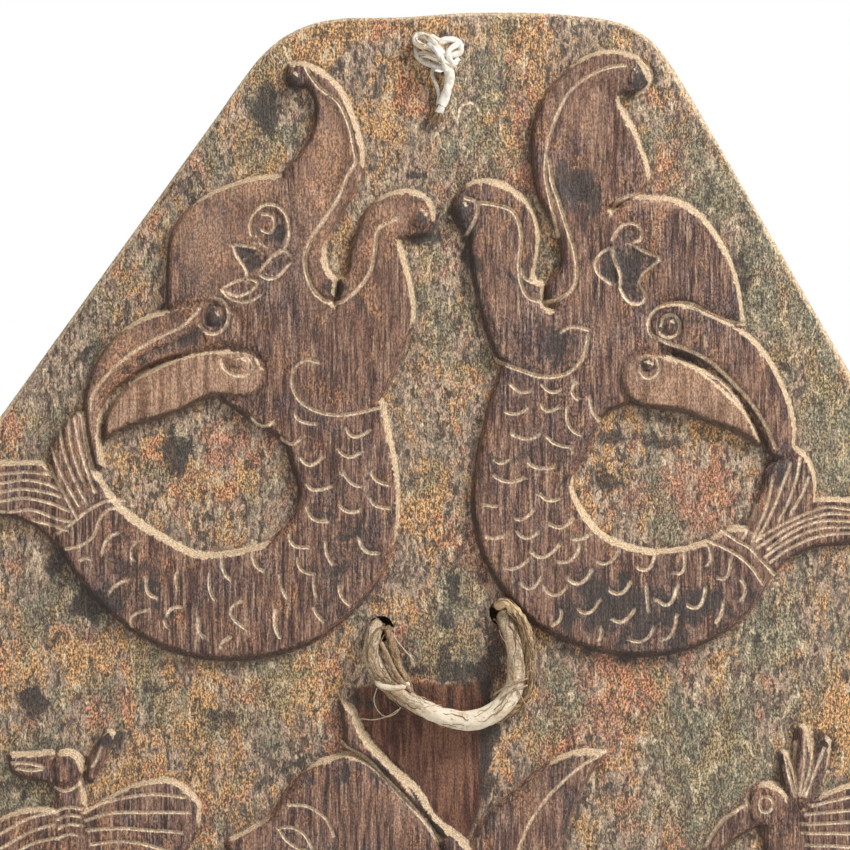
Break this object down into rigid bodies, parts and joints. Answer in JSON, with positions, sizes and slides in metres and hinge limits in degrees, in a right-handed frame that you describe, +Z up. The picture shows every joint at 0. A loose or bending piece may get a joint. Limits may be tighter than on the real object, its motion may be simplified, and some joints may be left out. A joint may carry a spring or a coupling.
{
  "type": "carved kris holder panel",
  "caption": "Carved wooden wall panel with two confronted elephant-headed fish in relief and a cord sling that holds a kris in its scabbard.",
  "frame": {"origin": "middle of the flat back face, halfway up and halfway across the panel", "axes": "+Z up along the panel's height, +X to the viewer's right, the carved front faces -Y"},
  "size_m": [0.432, 0.0319, 0.5763],
  "materials": {
    "wood": "old carved wood, dark brown, with worn green, ochre and red paint on the ground",
    "cotton": "off-white twisted cotton, frayed and dusty",
    "sling": "worn smooth, cream to tan cord",
    "frayed_sling": "frayed brown plant fibre"
  },
  "bodies": {
    "root": {"carved_panel": "wood", "hanging_cord": "cotton", "hanging_knot": "cotton", "sling_cord": "sling", "sling_strand": "frayed_sling", "sling_knot_left": "sling", "sling_knot_right": "sling"}
  },
  "joints": []
}
